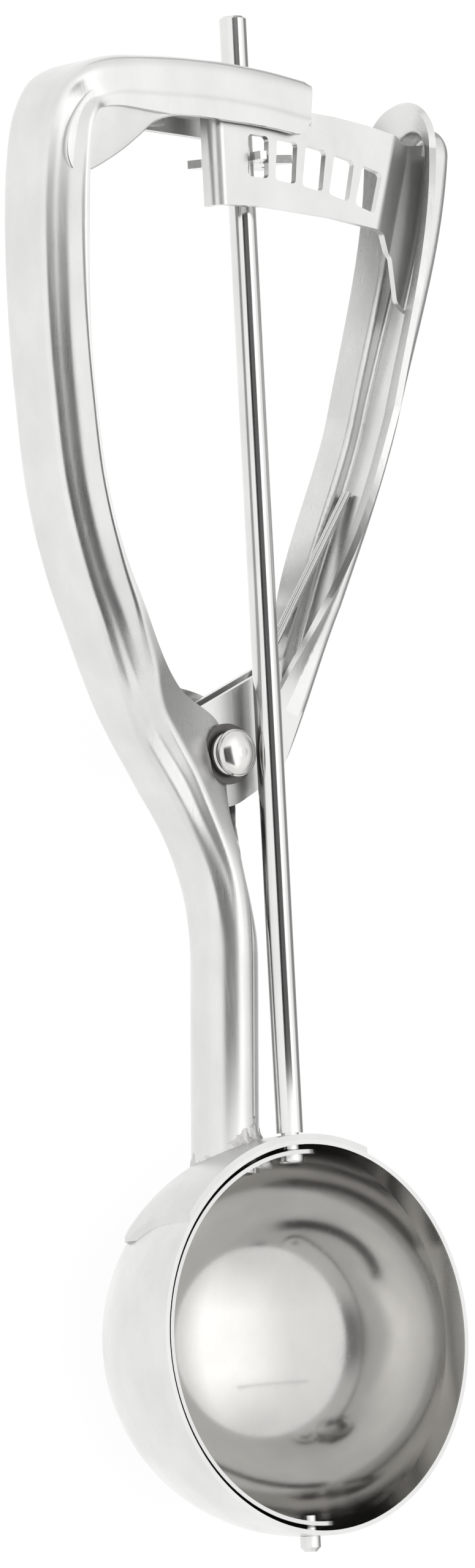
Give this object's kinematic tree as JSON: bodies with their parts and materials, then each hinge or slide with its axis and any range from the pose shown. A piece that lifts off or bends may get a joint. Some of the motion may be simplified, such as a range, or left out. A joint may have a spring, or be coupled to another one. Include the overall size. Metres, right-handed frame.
{
  "type": "ice cream scoop",
  "caption": "Squeeze-handle ice cream scoop: a hemispherical bowl with a scraper that a sprung lever sweeps round through a rack and pinion.",
  "frame": {"origin": "bottom centre of the whole scoop as it lies on its back with the bowl's mouth up", "axes": "+Y along the spindle from the bowl to the handle's top, +Z out of the bowl's mouth, +X from the fixed grip to the lever"},
  "size_m": [0.08, 0.2238, 0.0367],
  "materials": {
    "bowl_steel": "satin outside, polished inside",
    "pressed_steel": "satin",
    "handle_steel": "fine satin with rubbed edges",
    "rod_steel": "polished",
    "spring_wire": "drawn wire",
    "braze": "rough, as brazed"
  },
  "bodies": {
    "handle": {"bowl": "bowl_steel", "bowl_saddle": "pressed_steel", "neck_braze": "braze", "fixed_handle": "handle_steel", "bottom_pin": "rod_steel", "pivot_pin": "rod_steel", "pivot_washer": "rod_steel", "return_spring": "spring_wire"},
    "lever": {"lever": "handle_steel", "rack": "handle_steel"},
    "spindle": {"spindle": "rod_steel", "pinion": "rod_steel", "scraper": "bowl_steel", "scraper_rivet": "rod_steel"}
  },
  "joints": [
    {"name": "lever_pivot", "type": "hinge", "parent": "handle", "child": "lever", "pos_m": [-0.00404, 0.0039, 0.0226], "axis": [0, 0, 1], "range_deg": [0, 10.55], "stiffness_Nm_per_rad": 0.6, "springref_deg": -20.05, "deforming": ["return_spring"]},
    {"name": "spindle_turn", "type": "hinge", "parent": "handle", "child": "spindle", "pos_m": [0.00236, 0.0039, 0.0286], "axis": [0, 1, 0], "range_deg": [-180, 0]}
  ],
  "couplings": [
    {"joint": "spindle_turn", "follows": "lever_pivot", "ratio": -17.06}
  ]
}
